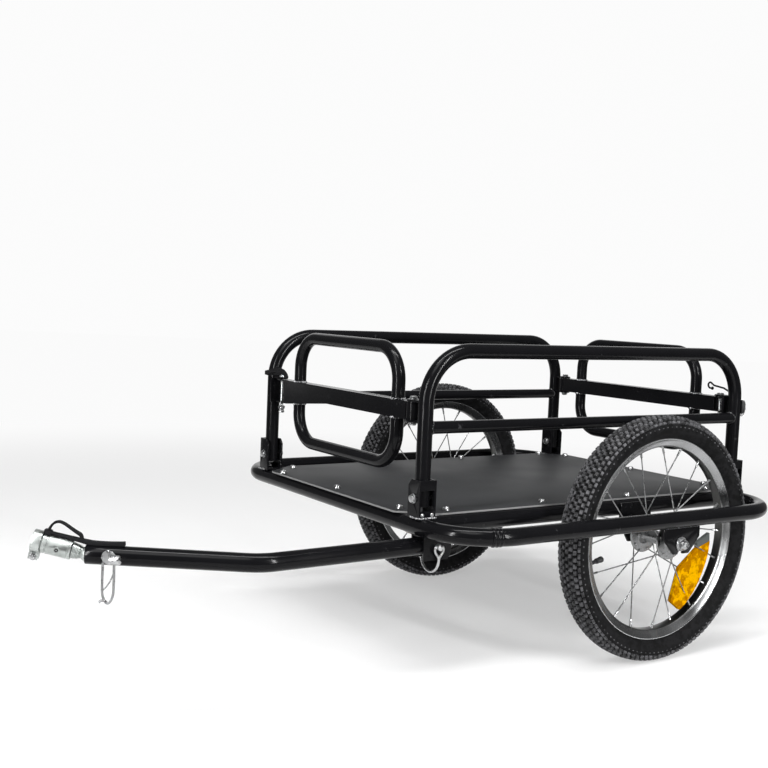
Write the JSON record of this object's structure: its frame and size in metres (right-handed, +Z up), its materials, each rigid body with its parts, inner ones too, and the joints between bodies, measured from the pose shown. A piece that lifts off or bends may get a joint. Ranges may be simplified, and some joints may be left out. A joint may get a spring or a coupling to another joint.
{
  "type": "bicycle cargo trailer",
  "caption": "Tubular cargo trailer on spoked wheels with a flat deck, fold-down sides and end gates, and a side-mounted folding drawbar with a tilting hitch.",
  "frame": {"origin": "centre of the overall length and width, on the ground", "axes": "+X forwards along the drawbar, +Y to the trailer's left, +Z up"},
  "size_m": [1.1962, 0.714, 0.4961],
  "materials": {
    "black_paint": "semi-gloss powder coat",
    "zinc_steel": "zinc plated",
    "satin_alloy": "satin",
    "tyre_rubber": "matt, knobbed",
    "grey_board": "fine grain, matt",
    "amber_plastic": "prismatic, glossy",
    "black_webbing": "woven"
  },
  "bodies": {
    "chassis": {"front_bumper_tube": "black_paint", "rear_bumper_tube": "black_paint", "left_inner_rail": "black_paint", "right_inner_rail": "black_paint", "axle_cross_member": "black_paint", "front_cross_member": "black_paint", "deck_board": "grey_board", "front_left_bracket": "black_paint", "front_right_bracket": "black_paint", "rear_left_bracket": "black_paint", "rear_right_bracket": "black_paint", "front_left_fold_bolt": "zinc_steel", "front_right_fold_bolt": "zinc_steel", "rear_left_fold_bolt": "zinc_steel", "rear_right_fold_bolt": "zinc_steel", "left_outer_axle_plate": "black_paint", "right_outer_axle_plate": "black_paint", "left_inner_axle_plate": "black_paint", "right_inner_axle_plate": "black_paint", "left_axle": "zinc_steel", "right_axle": "zinc_steel", "left_axle_nut": "zinc_steel", "right_axle_nut": "zinc_steel", "drawbar_bracket": "black_paint"},
    "left_side": {"left_side_hoop": "black_paint", "left_mid_rail": "black_paint", "front_gate_hinge_bolt": "zinc_steel", "rear_pin_lanyard": "black_webbing", "lanyard_clip": "black_webbing"},
    "right_side": {"right_side_hoop": "black_paint", "right_mid_rail": "black_paint", "rear_gate_hinge_bolt": "zinc_steel", "front_latch_strap": "black_webbing"},
    "front_gate": {"front_gate_bar": "black_paint", "front_gate_upper_hoop": "black_paint", "front_gate_lower_hoop": "black_paint"},
    "rear_gate": {"rear_gate_bar": "black_paint", "rear_gate_upper_hoop": "black_paint", "rear_gate_lower_hoop": "black_paint"},
    "front_latch": {"front_latch_pin": "zinc_steel"},
    "rear_latch": {"rear_latch_pin": "zinc_steel"},
    "left_wheel": {"left_tyre": "tyre_rubber", "left_rim": "satin_alloy", "left_spoked_hub": "zinc_steel", "left_spoke_reflector": "amber_plastic"},
    "right_wheel": {"right_tyre": "tyre_rubber", "right_rim": "satin_alloy", "right_spoked_hub": "zinc_steel", "right_spoke_reflector": "amber_plastic"},
    "drawbar": {"drawbar_tube": "black_paint", "safety_bolt": "zinc_steel", "safety_strap": "black_webbing"},
    "foot_pin": {"drawbar_pin": "zinc_steel", "drawbar_pin_bail": "zinc_steel"},
    "coupler": {"coupler_stud": "satin_alloy"},
    "coupler_head": {"coupler_body": "satin_alloy", "clamp_ring": "satin_alloy", "clamp_bolt": "zinc_steel"},
    "hook": {"snap_hook": "zinc_steel"}
  },
  "joints": [
    {"name": "left_side_fold", "type": "hinge", "parent": "chassis", "child": "left_side", "pos_m": [0.08421, 0.2312, 0.275], "axis": [1, 0, 0], "range_deg": [0, 80], "deforming": ["rear_pin_lanyard"]},
    {"name": "right_side_fold", "type": "hinge", "parent": "chassis", "child": "right_side", "pos_m": [0.08421, -0.2312, 0.275], "axis": [-1, 0, 0], "range_deg": [0, 80]},
    {"name": "front_gate_swing", "type": "hinge", "parent": "left_side", "child": "front_gate", "pos_m": [0.08421, 0.2, 0.41], "axis": [0, 0, 1], "range_deg": [0, 100]},
    {"name": "rear_gate_swing", "type": "hinge", "parent": "right_side", "child": "rear_gate", "pos_m": [-0.57704, -0.2, 0.41], "axis": [0, 0, 1], "range_deg": [0, 100]},
    {"name": "front_latch_slide", "type": "slide", "parent": "front_gate", "child": "front_latch", "axis": [0, 0, 1], "range_m": [-0.045, 0.006]},
    {"name": "rear_latch_slide", "type": "slide", "parent": "rear_gate", "child": "rear_latch", "axis": [0, 0, 1], "range_m": [-0.045, 0.006]},
    {"name": "left_wheel_spin", "type": "hinge", "parent": "chassis", "child": "left_wheel", "pos_m": [-0.33354, 0.2932, 0.196], "axis": [0, 1, 0], "continuous": true},
    {"name": "right_wheel_spin", "type": "hinge", "parent": "chassis", "child": "right_wheel", "pos_m": [-0.33354, -0.2932, 0.196], "axis": [0, 1, 0], "continuous": true},
    {"name": "drawbar_fold", "type": "hinge", "parent": "chassis", "child": "drawbar", "pos_m": [0.06346, 0.2299, 0.2054], "axis": [0, 1, 0], "range_deg": [0, 168]},
    {"name": "foot_pin_turn", "type": "hinge", "parent": "chassis", "child": "foot_pin", "pos_m": [0.06346, 0.2299, 0.2054], "axis": [0, 1, 0], "range_deg": [0, 104.2]},
    {"name": "coupler_tilt", "type": "hinge", "parent": "drawbar", "child": "coupler", "pos_m": [0.52887, 0.118, 0.20952], "axis": [0.5, 0.866, 0], "range_deg": [-18, 42], "deforming": ["safety_strap"]},
    {"name": "coupler_swivel", "type": "hinge", "parent": "coupler", "child": "coupler_head", "pos_m": [0.54663, 0.10785, 0.21426], "axis": [0.8458, -0.4835, 0.2257], "continuous": true},
    {"name": "snap_hook_swing", "type": "hinge", "parent": "drawbar", "child": "hook", "pos_m": [0.50332, 0.13274, 0.20876], "axis": [0.5, 0.866, 0], "range_deg": [-60, 60]}
  ],
  "couplings": [
    {"joint": "right_side_fold", "follows": "left_side_fold", "ratio": 1},
    {"joint": "front_gate_swing", "follows": "left_side_fold", "ratio": 1.25},
    {"joint": "rear_gate_swing", "follows": "left_side_fold", "ratio": 1.25},
    {"joint": "foot_pin_turn", "follows": "drawbar_fold", "ratio": 0.62}
  ]
}
